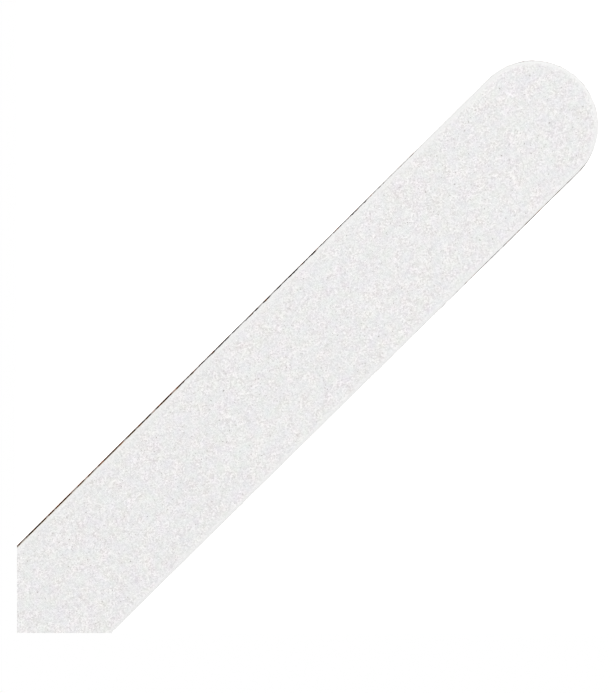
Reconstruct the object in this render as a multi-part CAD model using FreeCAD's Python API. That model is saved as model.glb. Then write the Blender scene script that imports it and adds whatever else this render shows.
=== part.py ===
import FreeCAD, Part
import math
import os

# Straight emery board: a thin wood strip with coated abrasive paper glued to both of its faces.
# The board is laminated as a sheet, die-cut to a bar with half-round ends, and then has its
# edge softened, so every ply stops on one shared crowned edge and the wood shows all round.
# Frame: +X along the board, +Y across it, +Z up from the plane that the board lies on.
# The origin is under the middle of the board. Sizes are in millimetres.

# Outline of the board where it is widest, at half its thickness
board_length = 178.0
board_width = 19.0

# Plies, from the middle of the board outwards
core_thickness = 1.4
glue_thickness = 0.04
paper_thickness = 0.15
make_coat_thickness = 0.03
coarse_grit_thickness = 0.16
fine_grit_thickness = 0.08
size_coat_thickness = 0.03

# How far the softened edge swells past the outline of the two flat faces
edge_crown = 0.6


def abrasive_plies(side, grit_thickness):
    """One face's coated abrasive paper, from the core outwards, as (node, thickness)."""
    return [
        (side + "_glue_film", glue_thickness),
        (side + "_backing_paper", paper_thickness),
        (side + "_make_coat", make_coat_thickness),
        (side + "_grit", grit_thickness),
        (side + "_size_coat", size_coat_thickness),
    ]


# The whole stack from the bottom up: the fine side lies down and the coarse side faces up
lower_plies = abrasive_plies("lower", fine_grit_thickness)
upper_plies = abrasive_plies("upper", coarse_grit_thickness)
stack = lower_plies[::-1] + [("core_strip", core_thickness)] + upper_plies

# What follows from those sizes
board_thickness = sum(thickness for node, thickness in stack)
half_thickness = board_thickness / 2
half_width = board_width / 2
straight_length = board_length - board_width
edge_radius = (half_thickness**2 + edge_crown**2) / (2 * edge_crown)
half_turn = 180


def edge_reach(height):
    """How far the crowned edge stands from the board's middle line at this height."""
    rise = height - half_thickness
    return half_width - edge_radius + math.sqrt(edge_radius**2 - rise**2)


def half_section(bottom, top):
    """The right half of a ply's cross-section, with its outer side an arc of the crowned edge."""
    middle = (bottom + top) / 2
    inner_bottom = FreeCAD.Vector(0, 0, bottom)
    outer_bottom = FreeCAD.Vector(0, edge_reach(bottom), bottom)
    outer_middle = FreeCAD.Vector(0, edge_reach(middle), middle)
    outer_top = FreeCAD.Vector(0, edge_reach(top), top)
    inner_top = FreeCAD.Vector(0, 0, top)
    sides = [
        Part.LineSegment(inner_bottom, outer_bottom),
        Part.Arc(outer_bottom, outer_middle, outer_top),
        Part.LineSegment(outer_top, inner_top),
        Part.LineSegment(inner_top, inner_bottom),
    ]
    return Part.Face(Part.Wire([side.toShape() for side in sides]))


def round_end(section, turn):
    """A half-round end about the origin: the section swept half a turn about its inner side."""
    return section.revolve(FreeCAD.Vector(), FreeCAD.Vector(0, 0, 1), turn)


def ply(bottom, top):
    """One ply of the board between two heights: a straight bar with a half-round end at each end."""
    section = half_section(bottom, top)
    rear = FreeCAD.Vector(-straight_length / 2, 0, 0)
    front = FreeCAD.Vector(straight_length / 2, 0, 0)

    right_bar = section.translated(rear).extrude(front - rear)
    left_bar = right_bar.mirror(FreeCAD.Vector(), FreeCAD.Vector(0, 1, 0))
    rear_end = round_end(section, half_turn).translated(rear)
    front_end = round_end(section, -half_turn).translated(front)

    joined = right_bar.fuse([left_bar, rear_end, front_end]).removeSplitter()
    return joined.Solids[0]


def main():
    os.makedirs("parts", exist_ok=True)
    bottom = 0.0
    for node, thickness in stack:
        solid = ply(bottom, bottom + thickness)
        solid.exportStep(os.path.join("parts", node + ".step"))
        bottom += thickness


main()
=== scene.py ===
import math

import bmesh
import bpy
import numpy as np
from bpy.props import FloatProperty, FloatVectorProperty, IntProperty, PointerProperty
from bpy.types import Node, NodeSocket, Operator, Panel, PropertyGroup
from mathutils import Matrix, Vector, noise
from mathutils.geometry import delaunay_2d_cdt


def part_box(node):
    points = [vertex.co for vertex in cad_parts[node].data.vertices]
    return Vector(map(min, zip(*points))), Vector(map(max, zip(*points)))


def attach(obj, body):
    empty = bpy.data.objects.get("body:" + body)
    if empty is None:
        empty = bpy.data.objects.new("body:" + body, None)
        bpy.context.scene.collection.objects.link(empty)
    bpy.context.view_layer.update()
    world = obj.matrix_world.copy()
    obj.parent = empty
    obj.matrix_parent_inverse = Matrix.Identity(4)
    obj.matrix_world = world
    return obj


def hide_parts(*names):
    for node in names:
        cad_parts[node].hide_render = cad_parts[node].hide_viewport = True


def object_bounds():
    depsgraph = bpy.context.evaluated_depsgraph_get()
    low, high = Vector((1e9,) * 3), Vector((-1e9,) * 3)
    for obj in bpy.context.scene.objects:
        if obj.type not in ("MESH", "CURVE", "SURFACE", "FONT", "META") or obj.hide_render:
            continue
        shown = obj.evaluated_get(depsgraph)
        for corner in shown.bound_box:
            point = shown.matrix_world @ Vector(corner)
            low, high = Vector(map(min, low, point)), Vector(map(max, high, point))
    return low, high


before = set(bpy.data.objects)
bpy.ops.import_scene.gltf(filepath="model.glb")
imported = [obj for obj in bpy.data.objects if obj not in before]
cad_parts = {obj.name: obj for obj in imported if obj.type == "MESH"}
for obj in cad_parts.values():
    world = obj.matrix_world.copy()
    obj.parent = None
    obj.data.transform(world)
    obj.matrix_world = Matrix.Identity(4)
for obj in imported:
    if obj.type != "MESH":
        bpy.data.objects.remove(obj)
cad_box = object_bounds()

# Looks of a straight emery board: a wood strip with white coated abrasive paper on both faces.
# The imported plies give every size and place. Lengths are in metres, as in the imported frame.

bl_info = {
    "name": "Emery Board",
    "version": (1, 0, 0),
    "blender": (4, 5, 0),
    "location": "View3D > Sidebar > Emery Board",
    "description": "Dresses the plies of a straight emery board and sets it on a white stage",
    "category": "Object",
}

MM = 0.001
BODY = "root"
BAKE_MAP = "OFBake"

# Each face of the board and the grade of its grit
GRADES = {"upper": "coarse", "lower": "fine"}

# The photograph's frame and where the board lies in it, in pixels
PICTURE_WIDTH = 615
PICTURE_HEIGHT = 693
ROUND_END_PIXEL = Vector((532.9, 126.2))
BOARD_WIDTH_PIXELS = 131.1
BOARD_SLOPE = math.radians(44.66)
LEFT_MARGIN_PIXELS = 17
BOTTOM_MARGIN_PIXELS = 60
CARD_GAP = 0.005

# Height of the worn rim, as a share of the abrasive's, and how far it loses the spots of the face
RIM_HEIGHT_SHARE = 0.6
RIM_WEAR_SHARE = 0.6

# Heights in millimetres down to which white resin hides the cut edge, at places in millimetres along
# the board's right and left side, judged by how much of the wood's line the photograph shows there.
# Across the board, the right side's heights give way to the left side's between two places.
RIGHT_LIMITS = {30: 1.2, 50: 1.48, 62: 1.66, 74: 1.74, 82: 1.6, 88: 1.2}
LEFT_LIMITS = {0: 1.87, 10: 1.86, 24: 1.68, 45: 1.61, 52: 1.55, 62: 1.4, 75: 1.0, 81: 1.0, 85: 1.34}
RIGHT_SIDE_ENDS = -9.2 * MM
LEFT_SIDE_STARTS = -7.2 * MM
RESIN_SOFTNESS = 0.03 * MM

# The board's shape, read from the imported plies
half_length = cad_box[1].x
half_width = cad_box[1].y
thickness = cad_box[1].z
spine = half_length - half_width


def edge_radius_of(node):
    """Radius of the crowned edge, from how far this ply's lower rim falls short of the outline."""
    low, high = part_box(node)
    rise = low.z - thickness / 2
    drop = half_width - high.y
    return (rise**2 + drop**2) / (2 * drop)


edge_radius = edge_radius_of("upper_size_coat")


def edge_reach(height):
    """How far the crowned edge stands from the spine at this height."""
    rise = height - thickness / 2
    return half_width - edge_radius + np.sqrt(edge_radius**2 - rise**2)


def linear(hex_colour):
    """A colour written as sRGB hex, as the linear red, green and blue that shaders take."""
    shares = [int(hex_colour[i:i + 2], 16) / 255 for i in (0, 2, 4)]
    return tuple(s / 12.92 if s <= 0.04045 else ((s + 0.055) / 1.055) ** 2.4 for s in shares)


def length(name, description, default):
    """A length that a user may change."""
    return FloatProperty(
        name=name,
        description=description,
        default=default,
        min=0,
        unit="LENGTH",
        precision=5,
    )


def colour(name, description, hex_colour):
    """A colour that a user may change."""
    return FloatVectorProperty(
        name=name,
        description=description,
        default=linear(hex_colour),
        min=0,
        max=1,
        size=3,
        subtype="COLOR",
    )


class EmerySizes(PropertyGroup):
    """Sizes of the abrasive and of the wood's fibres."""

    coarse_crust_step: length("Coarse crust step", "Spacing of bumps on the coarse face", 0.25 * MM)
    coarse_grain_width: length("Coarse grain width", "Width of proud grains on the coarse face", 0.2 * MM)
    coarse_grain_step: length("Coarse grain step", "Spacing of proud grains on the coarse face", 0.54 * MM)
    fine_crust_step: length("Fine crust step", "Spacing of bumps on the fine face", 0.21 * MM)
    fine_grain_width: length("Fine grain width", "Width of proud grains on the fine face", 0.18 * MM)
    fine_grain_step: length("Fine grain step", "Spacing of proud grains on the fine face", 0.54 * MM)
    rim_width: length("Worn rim", "Width along the edge where the grit is worn", 0.4 * MM)
    fibre_step: length("Fibre step", "Spacing of points along the cut edge of the wood", 0.3 * MM)
    fibre_depth: length("Fibre depth", "Deepest groove between fibres on the cut edge", 0.035 * MM)
    seed: IntProperty(name="Seed", description="Start of the grit's random draws", default=7, min=0)


class EmeryColours(PropertyGroup):
    """Colours of the plies."""

    face_pale: colour("Face, pale", "Lightest spots of the white size resin", "FBFAFA")
    face_grey: colour("Face, grey", "Darkest spots of the white size resin", "DEDDDD")
    rim_white: colour("Worn rim", "Smooth white resin along the softened edge", "F3F3F2")
    grain_pale: colour("Grain, pale", "Clear white grains", "FDFDFC")
    grain_grey: colour("Grain, grey", "Greyer grains", "C9C8C6")
    grain_dark: colour("Grain, dark", "The few dark grains", "A6A19D")
    wood: colour("Wood", "Body of the wood core", "7B4526")
    wood_dark: colour("Wood, dark", "Dark streaks and pores of the core", "472516")
    wood_light: colour("Wood, light", "Light fibres of the core", "A5653A")
    # Painted shade: a near-black laid along the top of the wood's cut edge, standing in for the shadow
    # line along the board's edge.
    painted_edge_shade: colour("Painted_edge_shade", "Painted shade band under the white resin on the edge", "0E0907")
    paper: colour("Paper", "Saturated backing paper", "F5F3EE")
    glue: colour("Glue", "Dried laminating glue", "CDB68C")
    resin: colour("Make resin", "Resin that the grains are set in", "E9E6DC")


class EmeryStage(PropertyGroup):
    """The camera and the lamps."""

    lens: FloatProperty(name="Lens", description="Focal length in millimetres", default=150, min=1)
    lean: FloatProperty(
        name="Lean",
        description="How far the camera leans towards the board's left edge",
        default=math.radians(5.5),
        subtype="ANGLE",
    )
    tilt: FloatProperty(
        name="Tilt",
        description="How far the camera leans towards the board's round end",
        default=math.radians(3.5),
        subtype="ANGLE",
    )
    sky: FloatProperty(name="Sky", description="Level of the light from all round", default=0.83, min=0)
    key: FloatProperty(
        name="Key",
        description="Power of the key lamp",
        default=1.58,
        min=0,
        unit="POWER",
    )
    ground: FloatProperty(
        name="Ground",
        description="White added to the floor where the camera sees it",
        default=0.75,
        min=0,
        max=1,
        subtype="FACTOR",
    )


# Mesh helpers


def smooth_step(share):
    """Eases a share from 0 to 1 at both ends."""
    held = np.clip(share, 0, 1)
    return held * held * (3 - 2 * held)


def outline(step):
    """Points round the board, counter-clockwise: their feet on the spine and their ways outward."""
    side_count = round(2 * spine / step)
    end_count = round(math.pi * half_width / step)
    along = np.linspace(spine, -spine, side_count, endpoint=False)
    turn = np.linspace(0, math.pi, end_count, endpoint=False)
    up = np.full(side_count, math.pi / 2)
    angles = np.concatenate([up, turn + math.pi / 2, -up, turn - math.pi / 2])
    feet = np.concatenate([along, np.full(end_count, -spine), -along, np.full(end_count, spine)])
    return feet, np.column_stack([np.cos(angles), np.sin(angles)])


def ring(feet, ways, reach, height):
    """A closed row of points at these reaches and heights."""
    points = np.zeros((len(feet), 3))
    points[:, 0] = feet
    points[:, :2] += ways * np.reshape(reach, (-1, 1))
    points[:, 2] = height
    return points


def belt(first, count, rows):
    """Quads between rows of points that follow each other in the list, each row closed."""
    here = np.arange(count)
    after = np.roll(here, -1)
    quads = []
    for row in range(rows - 1):
        low = first + row * count
        high = low + count
        quads.append(np.column_stack([low + here, low + after, high + after, high + here]))
    return np.concatenate(quads).tolist()


def piece(name, points, faces, material, slot, *nodes):
    """A mesh that stands for packed plies, takes the given material and rides with the board."""
    mesh = bpy.data.meshes.new(name)
    mesh.from_pydata(points.tolist(), [], faces)
    mesh.materials.append(material)
    made = bpy.data.objects.new(name, mesh)
    bpy.context.scene.collection.objects.link(made)
    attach(made, BODY)
    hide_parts(*nodes)
    return made


def lay_out(mesh, facing):
    """A map for baked textures: outward faces fill it, and buried ones share a strip at its top."""
    corners = np.zeros(len(mesh.loops), dtype=int)
    mesh.loops.foreach_get("vertex_index", corners)
    places = np.zeros(len(mesh.vertices) * 3)
    mesh.vertices.foreach_get("co", places)
    places = places.reshape(-1, 3)[corners]
    normals = np.zeros(len(mesh.polygons) * 3)
    mesh.polygons.foreach_get("normal", normals)
    sizes = np.zeros(len(mesh.polygons), dtype=int)
    mesh.polygons.foreach_get("loop_total", sizes)
    outward = np.repeat(normals.reshape(-1, 3)[:, 2] * facing > 0, sizes)
    across = (places[:, 1] / half_width + 1) / 2
    face_share = 0.94
    strip_share = 0.02
    spots = np.zeros((len(corners), 2))
    spots[:, 0] = (places[:, 0] / half_length + 1) / 2
    spots[:, 1] = np.where(outward, across * face_share, face_share + (1 + across) * strip_share)
    layer = mesh.uv_layers.new(name=BAKE_MAP)
    layer.uv.foreach_set("vector", spots.ravel())


# Materials


def new_material(name):
    """An empty node material, and the tree that its nodes go in."""
    material = bpy.data.materials.new(name)
    material.use_nodes = True
    material.node_tree.nodes.clear()
    return material, material.node_tree


def add(tree, kind, inputs=None, **settings):
    """Adds a node with its settings. An input is a value, a socket, or a node for its first output."""
    made = tree.nodes.new(kind)
    for name, value in settings.items():
        setattr(made, name, value)
    for name, value in (inputs or {}).items():
        if isinstance(value, Node):
            value = next(socket for socket in value.outputs if socket.enabled)
        if isinstance(value, NodeSocket):
            tree.links.new(value, made.inputs[name])
        else:
            made.inputs[name].default_value = value
    return made


def opaque(rgb):
    """A colour with full alpha, as shader sockets take it."""
    return (*rgb, 1)


def scales(*sizes):
    """Pattern scales that give lumps of these sizes, in millimetres."""
    return [1 / (size * MM) for size in sizes]


def size_resin(name, colours, grain_width):
    """White size resin, sprayed over the grit and cured: matt, with a lump over each grain.

    The eye sees a fine salt of paler and greyer spots, one to a grain, under a faint cloudiness, which
    fades where softening has worn the rim. The spots are as wide as the drawn grains, which are coarser
    than the real grit, or the picture would not show them.
    """
    material, tree = new_material(name)
    place = add(tree, "ShaderNodeTexCoord").outputs["Object"]
    lump = add(tree, "ShaderNodeTexVoronoi", {"Vector": place, "Scale": 1 / grain_width})
    tone = add(tree, "ShaderNodeSeparateColor", {"Color": lump.outputs["Color"]})
    pool = add(tree, "ShaderNodeTexNoise", {"Vector": place, "Scale": 1 / (1.6 * MM), "Detail": 1})
    shown = add(
        tree,
        "ShaderNodeMapRange",
        {"Value": pool, "From Min": 0.35, "From Max": 0.65, "To Min": 0.55, "To Max": 1.2},
    )
    away = add(tree, "ShaderNodeMath", {0: tone.outputs["Red"], 1: 0.5}, operation="SUBTRACT")
    share = add(tree, "ShaderNodeMath", {0: away, 1: shown, 2: 0.5}, operation="MULTIPLY_ADD")
    spots = add(
        tree,
        "ShaderNodeMix",
        {0: share, 6: opaque(colours.face_grey), 7: opaque(colours.face_pale)},
        data_type="RGBA",
    )
    tinted = add(tree, "ShaderNodeMix", {0: 0.06, 6: spots, 7: pool.outputs["Color"]}, data_type="RGBA")
    rim = add(tree, "ShaderNodeAttribute", attribute_name="rim").outputs["Fac"]
    white = opaque(colours.rim_white)
    worn = add(tree, "ShaderNodeMix", {0: rim, 6: tinted, 7: white}, data_type="RGBA")
    rough = add(
        tree,
        "ShaderNodeMapRange",
        {"Value": tone.outputs["Green"], "To Min": 0.5, "To Max": 0.75},
    )
    shader = add(tree, "ShaderNodeBsdfPrincipled", {"Base Color": worn, "Roughness": rough, "IOR": 1.5})
    add(tree, "ShaderNodeOutputMaterial", {"Surface": shader})
    return material


def fused_alumina(name, colours):
    """White fused alumina, crushed: hard angular grains with satin faces.

    Most grains are clear white and catch the lamp, some are greyer, and a few are dark, which gives
    the scattered glints and specks.
    """
    material, tree = new_material(name)
    chance = add(tree, "ShaderNodeNewGeometry").outputs["Random Per Island"]
    tone = add(tree, "ShaderNodeValToRGB", {"Fac": chance})
    stops = tone.color_ramp.elements
    dark_share = 0.035
    grey_share = 0.1
    mixed_share = 0.25
    stops[0].position = 0
    stops[0].color = opaque(colours.grain_dark)
    stops[1].position = 1
    stops[1].color = opaque(colours.grain_pale)
    stops.new(dark_share).color = opaque(colours.grain_dark)
    stops.new(dark_share * 1.1).color = opaque(colours.grain_grey)
    stops.new(grey_share).color = opaque(colours.grain_grey)
    stops.new(mixed_share).color = opaque(colours.grain_pale)
    shader = add(tree, "ShaderNodeBsdfPrincipled", {"Base Color": tone, "Roughness": 0.34, "IOR": 1.76})
    add(tree, "ShaderNodeOutputMaterial", {"Surface": shader})
    return material


def above_limit(tree, place):
    """How far a point of the cut edge lies above the limit of the white resin dragged down over it.

    As in the photograph, that resin hides the wood's upper shoulder on the board's left side towards
    the round end, round that end, and along most of the right side. Its limit wanders a little.
    """
    x, y, z = add(tree, "ShaderNodeSeparateXYZ", {"Vector": place}).outputs
    along = add(
        tree,
        "ShaderNodeMapRange",
        {"Value": x, "From Min": -half_length, "From Max": half_length},
    )
    sides = []
    for limits in (RIGHT_LIMITS, LEFT_LIMITS):
        side = add(tree, "ShaderNodeValToRGB", {"Fac": along})
        stops = side.color_ramp.elements
        for spot, height in limits.items():
            share = height * MM / thickness
            stops.new((spot * MM / half_length + 1) / 2).color = opaque([share] * 3)
        stops.remove(stops[0])
        stops.remove(stops[-1])
        sides.append(side)
    on_left = add(
        tree,
        "ShaderNodeMapRange",
        {"Value": y, "From Min": RIGHT_SIDE_ENDS, "From Max": LEFT_SIDE_STARTS},
    )
    share = add(tree, "ShaderNodeMix", {0: on_left, 2: sides[0], 3: sides[1]}, data_type="FLOAT")
    above = add(tree, "ShaderNodeMath", {0: share, 1: -thickness, 2: z}, operation="MULTIPLY_ADD")
    tall = add(tree, "ShaderNodeMapping", {"Vector": place, "Scale": scales(0.9, 0.9, 4)})
    wander = add(tree, "ShaderNodeTexNoise", {"Vector": tall, "Scale": 1, "Detail": 2})
    swing = add(tree, "ShaderNodeMapRange", {"Value": wander, "To Min": -0.3 * MM, "To Max": 0.3 * MM})
    return add(tree, "ShaderNodeMath", {0: above, 1: swing}, operation="ADD")


def smeared(tree, above, tone, colours):
    """This colour, with the white resin over it where the edge lies above the resin's limit."""
    hidden = add(
        tree,
        "ShaderNodeMapRange",
        {"Value": above, "From Min": -RESIN_SOFTNESS, "From Max": RESIN_SOFTNESS},
    )
    white = opaque(colours.rim_white)
    return add(tree, "ShaderNodeMix", {0: hidden, 6: tone, 7: white}, data_type="RGBA")


def raw_wood(name, colours):
    """Thin wood strip, die-cut and left raw: brown fibres along the sides, which end at the round ends.

    Just below the white resin, much of the wood is painted near black as painted shade along the cut edge,
    and dust lies on it.
    The eye sees streaks of lighter and darker brown, and from above a thin line that goes from painted
    black shade to brown to dusty grey. Single fibres are drawn 0.12 mm wide, coarser than real ones,
    or no view would show them.
    """
    material, tree = new_material(name)
    place = add(tree, "ShaderNodeTexCoord").outputs["Object"]
    wide = add(tree, "ShaderNodeMapping", {"Vector": place, "Scale": scales(9, 0.35, 0.35)})
    bands = add(tree, "ShaderNodeTexNoise", {"Vector": wide, "Scale": 1, "Detail": 2})
    fine = add(tree, "ShaderNodeMapping", {"Vector": place, "Scale": scales(5, 0.12, 0.12)})
    fibres = add(tree, "ShaderNodeTexNoise", {"Vector": fine, "Scale": 1, "Detail": 3})
    streak = add(tree, "ShaderNodeMix", {0: 0.5, 2: bands, 3: fibres}, data_type="FLOAT")
    tone = add(tree, "ShaderNodeValToRGB", {"Fac": streak})
    stops = tone.color_ramp.elements
    stops[0].position = 0.4
    stops[0].color = opaque(colours.wood_dark)
    stops[1].position = 0.62
    stops[1].color = opaque(colours.wood_light)
    stops.new(0.5).color = opaque(colours.wood)

    # Painted shade: near-black patches laid on the wood just below the white resin's limit, standing in
    # for the shadow along the edge; the dust that greys them is the board's own.
    fringe_depth = 0.52 * MM
    fringe_softness = 0.12 * MM
    above = above_limit(tree, place)
    shade_and_dust_noise = add(
        tree,
        "ShaderNodeTexNoise",
        {"Vector": place, "Scale": 1 / (1.2 * MM), "Detail": 4, "Roughness": 0.6},
    )
    shade_patches, dust, _ = add(tree, "ShaderNodeSeparateColor", {"Color": shade_and_dust_noise.outputs["Color"]}).outputs
    fringe = add(
        tree,
        "ShaderNodeMapRange",
        {"Value": shade_patches, "From Min": 0.41, "From Max": 0.47, "To Max": fringe_depth},
    )
    reach = add(tree, "ShaderNodeMath", {0: fringe, 1: above}, operation="ADD")
    painted_shade_share = add(
        tree,
        "ShaderNodeMapRange",
        {"Value": reach, "From Min": -fringe_softness, "From Max": fringe_softness, "To Max": 0.97},
    )
    black = opaque(colours.painted_edge_shade)
    with_painted_shade = add(tree, "ShaderNodeMix", {0: painted_shade_share, 6: tone, 7: black}, data_type="RGBA")
    most_dust = add(
        tree,
        "ShaderNodeMapRange",
        {"Value": above, "From Min": -0.7 * MM, "From Max": -0.3 * MM, "To Max": 0.42},
    )
    dusty = add(
        tree,
        "ShaderNodeMapRange",
        {"Value": dust, "From Min": 0.52, "From Max": 0.58, "To Max": most_dust},
    )
    white = opaque(colours.rim_white)
    dusted = add(tree, "ShaderNodeMix", {0: dusty, 6: with_painted_shade, 7: white}, data_type="RGBA")
    finish = smeared(tree, above, dusted, colours)
    shader = add(
        tree,
        "ShaderNodeBsdfPrincipled",
        {"Base Color": finish, "Roughness": 0.9, "IOR": 1.5, "Specular IOR Level": 0.0},
    )
    add(tree, "ShaderNodeOutputMaterial", {"Surface": shader})
    return material


def plain_film(name, colours, rgb, cloud_size, roughness):
    """A thin film, such as dried glue, saturated paper or cured resin, rolled or spread between two plies.

    The eye sees only its rim on the cut edge: a hairline of its own colour, clouded a little by uneven
    thickness, and lost where white resin is smeared over it.
    """
    material, tree = new_material(name)
    place = add(tree, "ShaderNodeTexCoord").outputs["Object"]
    cloud = add(tree, "ShaderNodeTexNoise", {"Vector": place, "Scale": 1 / cloud_size, "Detail": 3})
    thin = [share * 0.9 for share in rgb]
    tone = add(tree, "ShaderNodeMix", {0: cloud, 6: opaque(thin), 7: opaque(rgb)}, data_type="RGBA")
    finish = smeared(tree, above_limit(tree, place), tone, colours)
    shader = add(
        tree,
        "ShaderNodeBsdfPrincipled",
        {"Base Color": finish, "Roughness": roughness, "IOR": 1.5},
    )
    add(tree, "ShaderNodeOutputMaterial", {"Surface": shader})
    return material


# Pieces


def face_levels(side):
    """The heights of an abrasive's root, on its make coat, and of its highest tips."""
    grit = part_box(side + "_grit")
    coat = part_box(side + "_size_coat")
    if side == "upper":
        return grit[0].z, coat[1].z
    return grit[1].z, coat[0].z


def lattice(reach, step, jitter, draws):
    """Points of a shaken triangular lattice within this reach of the spine, and which are peaks."""
    row_step = step * math.sqrt(3) / 2
    rows = np.arange(-math.ceil(reach / row_step), math.ceil(reach / row_step) + 1)
    columns = np.arange(-math.ceil((spine + reach) / step), math.ceil((spine + reach) / step) + 1)
    column, row = np.meshgrid(columns, rows)
    points = np.column_stack([((column + (row % 2) / 2) * step).ravel(), (row * row_step).ravel()])
    peaks = ((column - (row - row % 2) // 2 - row) % 3 == 0).ravel()
    points += draws.uniform(-jitter, jitter, points.shape) * step
    inside = spine_distance(points) < reach
    return points[inside], peaks[inside]


def spine_distance(points):
    """How far points of a face lie from the spine."""
    past_end = np.maximum(np.abs(points[:, 0]) - spine, 0)
    return np.hypot(past_end, points[:, 1])


def crust_shares(points, peaks, rim_reach, rim_width, draws):
    """How high each point of the crust stands, as a share of the abrasive, and how worn it is."""
    high = draws.uniform(0.6, 0.95, len(points))
    low = draws.uniform(0.34, 0.58, len(points))
    shares = np.where(peaks, high, low)
    ragged = rim_width * draws.uniform(0.5, 1.3, len(points))
    whole = smooth_step((rim_reach - spine_distance(points)) / ragged)
    return RIM_HEIGHT_SHARE + (shares - RIM_HEIGHT_SHARE) * whole, 1 - whole


def crust(side, sizes, colours):
    """The white size coat as the eye sees it: a crust of angular lumps, worn at its rim, closed below."""
    grade = GRADES[side]
    step = getattr(sizes, grade + "_crust_step")
    draws = np.random.default_rng(sizes.seed + list(GRADES).index(side))
    root, tip = face_levels(side)
    rim_level = root + (tip - root) * RIM_HEIGHT_SHARE
    rim_reach = edge_reach(rim_level)
    inner, peaks = lattice(rim_reach - step / 2, step, jitter=0.3, draws=draws)
    shares, worn = crust_shares(inner, peaks, rim_reach, sizes.rim_width, draws)
    feet, ways = outline(step)
    count = len(feet)
    deepest_chip = 0.03 * MM
    chips = draws.uniform(0, deepest_chip, count)
    rim = ring(feet, ways, rim_reach - chips, rim_level)

    flat = np.concatenate([rim[:, :2], inner]) / MM
    edge = list(range(count))
    found = delaunay_2d_cdt([Vector(p) for p in flat], [], [edge], 1, 1e-7, True)
    faces = [[found[3][corner][0] for corner in face] for face in found[2]]
    heights = root + (tip - root) * shares
    top = np.concatenate([rim, np.column_stack([inner, heights])])

    skirt = []
    rows = 4
    for level in np.linspace(rim_level, root, rows)[1:]:
        skirt.append(ring(feet, ways, edge_reach(level), level))
    first = len(top)
    points = np.concatenate([top, *skirt])
    joined = belt(first, count, rows - 1)
    start = np.arange(count)
    after = np.roll(start, -1)
    joined += np.column_stack([start, after, first + after, first + start]).tolist()
    bottom = list(range(len(points) - count, len(points)))
    if side == "upper":
        faces += [quad[::-1] for quad in joined] + [bottom[::-1]]
    else:
        faces = [face[::-1] for face in faces] + joined + [bottom]

    material = size_resin(side + "_size_resin_sprayed", colours, getattr(sizes, grade + "_grain_width"))
    made = piece(side + "_size_crust", points, faces, material, "white_size_resin", side + "_size_coat")
    wear = np.ones(len(points))
    wear[count:first] = worn
    wear *= RIM_WEAR_SHARE
    made.data.attributes.new("rim", "FLOAT", "POINT").data.foreach_set("value", wear)
    lay_out(made.data, 1 if side == "upper" else -1)
    return made


def grain_blocks(draws, count, corners):
    """Crushed grains as blocks: hulls of a few points drawn on a ball, as corners and faces."""
    blocks = []
    for _ in range(count):
        block = bmesh.new()
        for point in draws.normal(size=(corners, 3)):
            block.verts.new(Vector(point).normalized())
        bmesh.ops.convex_hull(block, input=block.verts)
        bmesh.ops.recalc_face_normals(block, faces=block.faces)
        block.verts.index_update()
        places = np.array([corner.co[:] for corner in block.verts])
        blocks.append((places, [[corner.index for corner in face.verts] for face in block.faces]))
        block.free()
    return blocks


def grains(side, sizes, colours):
    """The proud grains of one face: angular blocks seated in the crust, with their tips at the face."""
    grade = GRADES[side]
    width = getattr(sizes, grade + "_grain_width")
    step = getattr(sizes, grade + "_grain_step")
    draws = np.random.default_rng(sizes.seed + 10 + list(GRADES).index(side))
    root, tip = face_levels(side)
    blocks = grain_blocks(draws, count=24, corners=8)
    reach = edge_reach(tip) - sizes.rim_width
    places, _ = lattice(reach, step, jitter=0.42, draws=draws)
    points = []
    faces = []
    first = 0
    for place in places:
        corners, sides = blocks[draws.integers(len(blocks))]
        turn = Matrix.Rotation(draws.uniform(0, math.tau), 3, Vector(draws.normal(size=3)).normalized())
        turned = corners @ np.array(turn)
        low = turned[:, 2].min()
        high = turned[:, 2].max()
        widths = width / 2 * draws.uniform(0.7, 1.25, 2)
        share = draws.uniform(0.82, 1.0)
        raised = (turned[:, 2] - low) / (high - low) * share
        spot = np.column_stack([place + turned[:, :2] * widths, root + (tip - root) * raised])
        points.append(spot)
        for face in sides:
            moved = [first + corner for corner in face]
            faces.append(moved if tip > root else moved[::-1])
        first += len(corners)
    points = np.concatenate(points)
    material = fused_alumina(side + "_alumina_crushed", colours)
    made = piece(side + "_grains", points, faces, material, "abrasive_grain", side + "_grit")
    lay_out(made.data, 1 if side == "upper" else -1)
    return made


def core(sizes, colours):
    """The wood strip, with grooves between its fibres on the cut edge."""
    low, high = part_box("core_strip")
    rows = 17
    fibre_size = np.array([4 * MM, 0.4 * MM, 0.12 * MM])
    feet, ways = outline(sizes.fibre_step)
    count = len(feet)
    rings = []
    for level in np.linspace(low.z, high.z, rows):
        reach = edge_reach(level)
        spots = ring(feet, ways, reach, level) / fibre_size
        cut = np.array([noise.noise(Vector(spot)) for spot in spots])
        depth = sizes.fibre_depth * (cut + 1) / 2
        rings.append(ring(feet, ways, reach - depth, level))
    points = np.concatenate(rings)
    faces = belt(0, count, rows)
    faces.append(list(range(count))[::-1])
    faces.append(list(range(len(points) - count, len(points))))
    material = raw_wood("brown_wood_die_cut", colours)
    return piece("core_wood_strip", points, faces, material, "core_wood", "core_strip")


class EMERY_OT_core(Operator):
    """Cut the wood core's edge into fibres"""

    bl_idname = "emery.core"
    bl_label = "Wood Core"

    def execute(self, context):
        core(context.scene.emery_sizes, context.scene.emery_colours)
        return {"FINISHED"}


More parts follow.
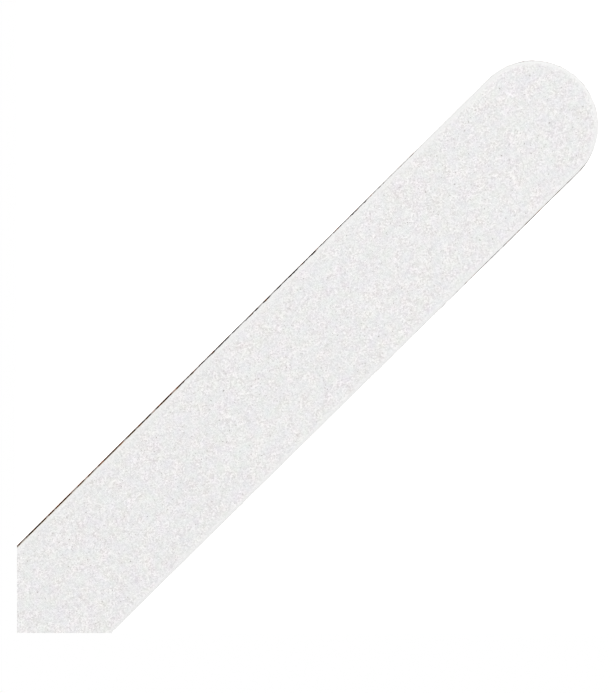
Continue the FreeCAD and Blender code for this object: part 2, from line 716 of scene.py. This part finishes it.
class EMERY_OT_plies(Operator):
    """Give the glue films, backing papers and make coats their materials"""

    bl_idname = "emery.plies"
    bl_label = "Glue, Paper and Make Coat"

    def execute(self, context):
        colours = context.scene.emery_colours
        films = {
            "_glue_film": plain_film("laminating_glue_dried", colours, colours.glue, 0.4 * MM, 0.35),
            "_backing_paper": plain_film(
                "backing_paper_saturated", colours, colours.paper, 0.15 * MM, 0.85
            ),
            "_make_coat": plain_film("make_resin_cured", colours, colours.resin, 0.3 * MM, 0.45),
        }
        for side in GRADES:
            for ending, material in films.items():
                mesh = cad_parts[side + ending].data
                mesh.materials.clear()
                mesh.materials.append(material)
        return {"FINISHED"}


class EMERY_OT_crusts(Operator):
    """Lay the white crust of size resin over both faces"""

    bl_idname = "emery.crusts"
    bl_label = "Size Coats"

    def execute(self, context):
        for side in GRADES:
            crust(side, context.scene.emery_sizes, context.scene.emery_colours)
        return {"FINISHED"}


class EMERY_OT_grains(Operator):
    """Seat the proud grains in both faces"""

    bl_idname = "emery.grains"
    bl_label = "Abrasive Grains"

    def execute(self, context):
        for side in GRADES:
            grains(side, context.scene.emery_sizes, context.scene.emery_colours)
        return {"FINISHED"}


# Stage


def seen_ray(tree):
    """1 for rays from the camera, and for those that it sees mirrored or through glass."""
    path = add(tree, "ShaderNodeLightPath").outputs
    sharp = add(
        tree,
        "ShaderNodeMath",
        {0: path["Is Glossy Ray"], 1: path["Is Transmission Ray"]},
        operation="MAXIMUM",
    )
    return add(tree, "ShaderNodeMath", {0: path["Is Camera Ray"], 1: sharp}, operation="MAXIMUM")


def floor_paint(ground):
    """White studio board, painted matt: it takes the shadow, and is lifted to white for the camera."""
    material, tree = new_material("studio_board_matt")
    lift = add(tree, "ShaderNodeMath", {0: seen_ray(tree), 1: ground}, operation="MULTIPLY")
    glow = add(tree, "ShaderNodeEmission", {"Strength": lift})
    matt = add(tree, "ShaderNodeBsdfDiffuse", {"Color": opaque(linear("F0F0F0"))})
    both = add(tree, "ShaderNodeAddShader", {0: glow, 1: matt})
    add(tree, "ShaderNodeOutputMaterial", {"Surface": both})
    return material


def sheet(name, corners, material):
    """A flat stage piece with these corners."""
    mesh = bpy.data.meshes.new(name)
    mesh.from_pydata([tuple(c) for c in corners], [], [list(range(len(corners)))])
    mesh.materials.append(material)
    made = bpy.data.objects.new(name, mesh)
    bpy.context.scene.collection.objects.link(made)
    return made


def floor(ground):
    """The plain floor that the board lies on."""
    reach = 3.0
    corners = [(-reach, -reach, 0), (reach, -reach, 0), (reach, reach, 0), (-reach, reach, 0)]
    return sheet("studio_floor", corners, floor_paint(ground))


def sky(level):
    """Even light from all round, and plain white where the camera looks past the floor."""
    world = bpy.data.worlds.new("white_studio")
    bpy.context.scene.world = world
    world.use_nodes = True
    tree = world.node_tree
    tree.nodes.clear()
    strength = add(tree, "ShaderNodeMapRange", {"Value": seen_ray(tree), "To Min": level, "To Max": 1.0})
    light = add(tree, "ShaderNodeBackground", {"Color": (1, 1, 1, 1), "Strength": strength})
    add(tree, "ShaderNodeOutputWorld", {"Surface": light})


def key_lamp(power):
    """A broad soft lamp over the board's left side and round end."""
    lamp = bpy.data.lights.new("key_softbox", "AREA")
    lamp.shape = "SQUARE"
    lamp.size = 0.25
    lamp.energy = power
    made = bpy.data.objects.new("key_softbox", lamp)
    distance = 0.9
    way = Vector((0.42, 0.14, 0.9)).normalized()
    made.location = way * distance
    made.rotation_euler = way.to_track_quat("Z", "Y").to_euler()
    bpy.context.scene.collection.objects.link(made)


def camera(stage):
    """Looks down on the board as the photograph does, with the round end at the upper right."""
    data = bpy.data.cameras.new("picture_camera")
    data.lens = stage.lens
    data.clip_start = CARD_GAP / 2
    made = bpy.data.objects.new("picture_camera", data)
    bpy.context.scene.collection.objects.link(made)
    bpy.context.scene.camera = made

    pixel = 2 * half_width / BOARD_WIDTH_PIXELS
    away = stage.lens / data.sensor_width * PICTURE_HEIGHT * pixel
    right = Vector((math.cos(BOARD_SLOPE), -math.sin(BOARD_SLOPE), 0))
    up = Vector((math.sin(BOARD_SLOPE), math.cos(BOARD_SLOPE), 0))
    from_middle = ROUND_END_PIXEL - Vector((PICTURE_WIDTH, PICTURE_HEIGHT)) / 2
    round_end = Vector((spine, 0, thickness / 2))
    seen_at = Vector((from_middle.x * pixel, -from_middle.y * pixel, -away))
    level = Matrix((right, up, Vector((0, 0, 1)))).transposed()
    lean = Matrix.Rotation(-stage.lean, 3, "X") @ Matrix.Rotation(stage.tilt, 3, "Y")
    turn = lean @ level
    made.matrix_world = Matrix.LocRotScale(round_end - turn @ seen_at, turn.to_quaternion(), None)
    return made


def margin_card(camera):
    """A tiny white card right before the lens, which crops the board as the photograph's margins do.

    It casts no shadow, and its two arms are too narrow for a camera farther off to see.
    """
    material, tree = new_material("margin_card_white")
    white = add(tree, "ShaderNodeEmission", {"Strength": 1.0})
    add(tree, "ShaderNodeOutputMaterial", {"Surface": white})

    pixel = CARD_GAP * camera.data.sensor_width / camera.data.lens / PICTURE_HEIGHT
    left = -PICTURE_WIDTH / 2
    bottom = -PICTURE_HEIGHT / 2
    inner_left = left + LEFT_MARGIN_PIXELS
    inner_bottom = bottom + BOTTOM_MARGIN_PIXELS
    spare = 20
    spots = [
        (left - spare, -bottom + spare),
        (left - spare, bottom - spare),
        (-left + spare, bottom - spare),
        (-left + spare, inner_bottom),
        (inner_left, inner_bottom),
        (inner_left, -bottom + spare),
    ]
    corners = [camera.matrix_world @ Vector((x * pixel, y * pixel, -CARD_GAP)) for x, y in spots]
    made = sheet("margin_card", corners, material)
    made.visible_diffuse = False
    made.visible_glossy = False
    made.visible_transmission = False
    made.visible_shadow = False


class EMERY_OT_stage(Operator):
    """Set the floor, the light and the camera"""

    bl_idname = "emery.stage"
    bl_label = "Stage"

    def execute(self, context):
        stage = context.scene.emery_stage
        context.scene.view_settings.view_transform = "Standard"
        floor(stage.ground)
        sky(stage.sky)
        key_lamp(stage.key)
        margin_card(camera(stage))
        return {"FINISHED"}


class EMERY_PT_panel(Panel):
    """Lists the pieces of the board and what can be changed"""

    bl_idname = "EMERY_PT_panel"
    bl_label = "Emery Board"
    bl_space_type = "VIEW_3D"
    bl_region_type = "UI"
    bl_category = "Emery Board"

    def draw(self, context):
        for step in STEPS:
            self.layout.operator(step.bl_idname)
        for group in GROUPS:
            box = self.layout.box()
            settings = getattr(context.scene, group)
            for name in settings.__annotations__:
                box.prop(settings, name)


STEPS = (EMERY_OT_core, EMERY_OT_plies, EMERY_OT_crusts, EMERY_OT_grains, EMERY_OT_stage)
GROUPS = {"emery_sizes": EmerySizes, "emery_colours": EmeryColours, "emery_stage": EmeryStage}


def register():
    for made in (*GROUPS.values(), *STEPS, EMERY_PT_panel):
        bpy.utils.register_class(made)
    for name, group in GROUPS.items():
        setattr(bpy.types.Scene, name, PointerProperty(type=group))


def unregister():
    for name in GROUPS:
        delattr(bpy.types.Scene, name)
    for made in (EMERY_PT_panel, *reversed(STEPS), *reversed(GROUPS.values())):
        bpy.utils.unregister_class(made)


def main():
    register()
    bpy.ops.emery.core()
    bpy.ops.emery.plies()
    bpy.ops.emery.crusts()
    bpy.ops.emery.grains()
    bpy.ops.emery.stage()


if __name__ == "__main__":
    main()
